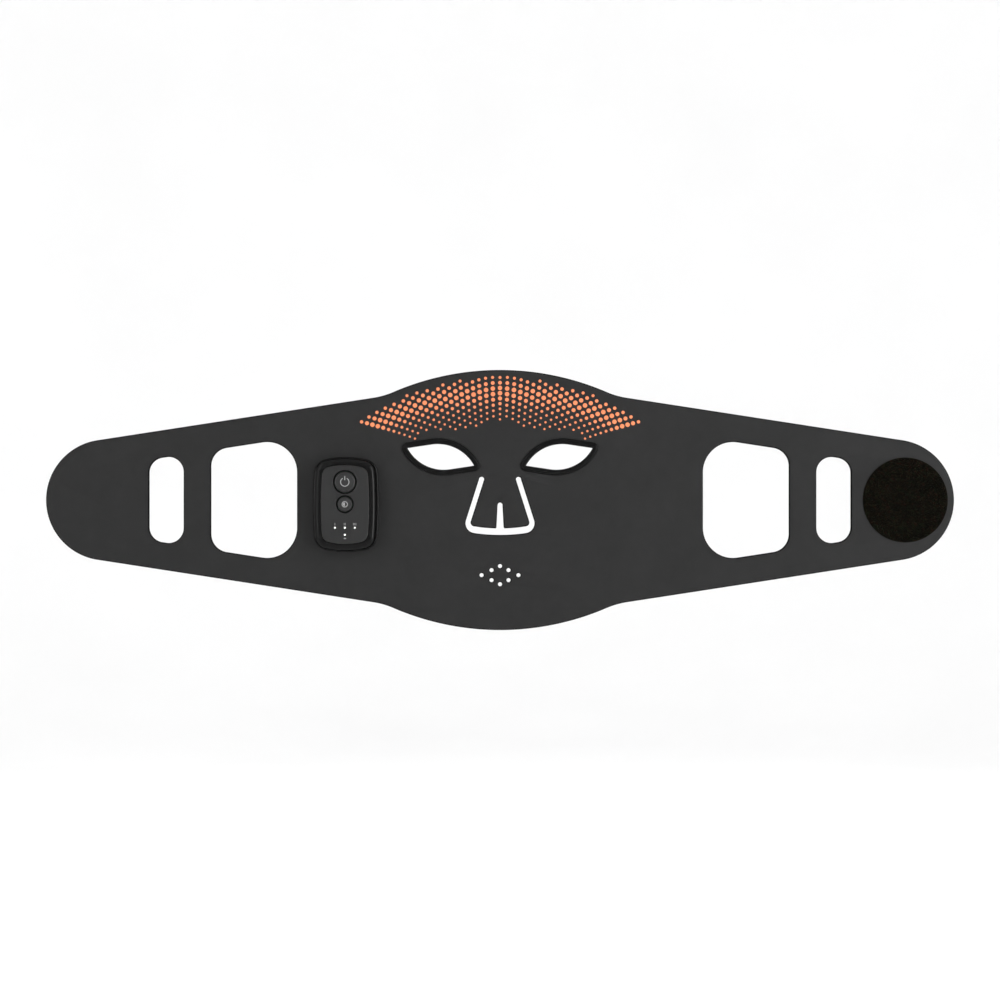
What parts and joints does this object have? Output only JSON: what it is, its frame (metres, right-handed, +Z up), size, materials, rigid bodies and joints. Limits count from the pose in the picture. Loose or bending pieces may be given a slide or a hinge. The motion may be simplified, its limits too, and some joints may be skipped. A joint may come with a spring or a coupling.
{
  "type": "LED face mask",
  "caption": "Flexible strap-on face mask with red and infrared lights on the inside, eye openings, ear windows, a nose flap and a cheek control unit with buttons.",
  "frame": {"origin": "midway between the eye openings, on the wearing face", "axes": "+X to the viewer's right along the straps, +Y into the wearer's face, +Z up to the forehead"},
  "size_m": [0.6004, 0.0155, 0.172],
  "materials": {
    "outer_skin": "matte silicone",
    "inner_skin": "matte silicone",
    "flex_circuit": "polyimide film",
    "red_led": "moulded package",
    "infrared_led": "moulded package",
    "led_lens": "clear silicone",
    "eye_rim": "glossy",
    "hook_tape": "micro hooks",
    "loop_tape": "brushed loops",
    "unit_casing": "glossy",
    "unit_plate": "satin",
    "button_cap": "satin",
    "light_guide": "clear moulding",
    "adhesive_tape": "foam",
    "steel": "plated",
    "backing_plate": "moulded",
    "circuit_board": "solder mask",
    "component_body": "moulded",
    "signal_led": "moulded package",
    "battery_cell": "foil pouch"
  },
  "bodies": {
    "face": {"centre_outer_skin": "outer_skin", "centre_inner_skin": "inner_skin", "centre_flex_circuit": "flex_circuit", "centre_red_leds": "red_led", "centre_infrared_leds": "infrared_led", "centre_led_lenses": "led_lens", "left_eye_rim": "eye_rim", "right_eye_rim": "eye_rim"},
    "nose_flap": {"nose_flap_outer_skin": "outer_skin", "nose_flap_inner_skin": "inner_skin"},
    "left_cheek": {"left_cheek_outer_skin": "outer_skin", "left_cheek_inner_skin": "inner_skin", "left_cheek_flex_circuit": "flex_circuit", "left_cheek_red_leds": "red_led", "left_cheek_infrared_leds": "infrared_led", "left_cheek_led_lenses": "led_lens", "unit_base": "unit_casing", "unit_face_plate": "unit_plate", "unit_plate_tape": "adhesive_tape", "unit_light_guide": "light_guide", "unit_backing_plate": "backing_plate", "unit_mounting_screws": "steel", "control_board": "circuit_board", "control_board_screws": "steel", "tactile_switches": "component_body", "driver_chip": "component_body", "signal_leds": "signal_led", "battery": "battery_cell", "charging_socket": "steel", "ribbon_cable": "flex_circuit", "ribbon_connector": "component_body"},
    "power_button": {"power_button": "button_cap", "power_switch_plunger": "component_body"},
    "mode_button": {"mode_button": "button_cap", "mode_switch_plunger": "component_body"},
    "left_ear": {"left_ear_band": "outer_skin"},
    "left_strap": {"left_strap_end": "outer_skin", "loop_disc": "loop_tape"},
    "right_cheek": {"right_cheek_outer_skin": "outer_skin", "right_cheek_inner_skin": "inner_skin", "right_cheek_flex_circuit": "flex_circuit", "right_cheek_red_leds": "red_led", "right_cheek_infrared_leds": "infrared_led", "right_cheek_led_lenses": "led_lens"},
    "right_ear": {"right_ear_band": "outer_skin"},
    "right_strap": {"right_strap_end": "outer_skin", "hook_disc": "hook_tape"}
  },
  "joints": [
    {"name": "left_cheek_bend", "type": "hinge", "parent": "face", "child": "left_cheek", "pos_m": [-0.0673, 0, -0.0285], "axis": [0, 0, -1], "range_deg": [0, 60], "stiffness_Nm_per_rad": 0.02},
    {"name": "left_temple_bend", "type": "hinge", "parent": "left_cheek", "child": "left_ear", "pos_m": [-0.1283, 0, -0.0285], "axis": [0, 0, -1], "range_deg": [0, 55], "stiffness_Nm_per_rad": 0.02},
    {"name": "left_nape_bend", "type": "hinge", "parent": "left_ear", "child": "left_strap", "pos_m": [-0.2006, 0, -0.0285], "axis": [0, 0, -1], "range_deg": [0, 65], "stiffness_Nm_per_rad": 0.02},
    {"name": "right_cheek_bend", "type": "hinge", "parent": "face", "child": "right_cheek", "pos_m": [0.0673, 0, -0.0285], "axis": [0, 0, 1], "range_deg": [0, 55], "stiffness_Nm_per_rad": 0.02},
    {"name": "right_temple_bend", "type": "hinge", "parent": "right_cheek", "child": "right_ear", "pos_m": [0.1283, 0, -0.0285], "axis": [0, 0, 1], "range_deg": [0, 64], "stiffness_Nm_per_rad": 0.02},
    {"name": "right_nape_bend", "type": "hinge", "parent": "right_ear", "child": "right_strap", "pos_m": [0.2006, 0, -0.0285], "axis": [0, 0, 1], "range_deg": [0, 61], "stiffness_Nm_per_rad": 0.02},
    {"name": "nose_flap_fold", "type": "hinge", "parent": "face", "child": "nose_flap", "pos_m": [0, -0.0032, -0.0151], "axis": [-1, 0, 0], "range_deg": [0, 40], "stiffness_Nm_per_rad": 0.004},
    {"name": "power_button_press", "type": "slide", "parent": "left_cheek", "child": "power_button", "axis": [0, 1, 0], "range_m": [0, 0.0004], "stiffness_N_per_m": 1500},
    {"name": "mode_button_press", "type": "slide", "parent": "left_cheek", "child": "mode_button", "axis": [0, 1, 0], "range_m": [0, 0.0004], "stiffness_N_per_m": 1500}
  ]
}
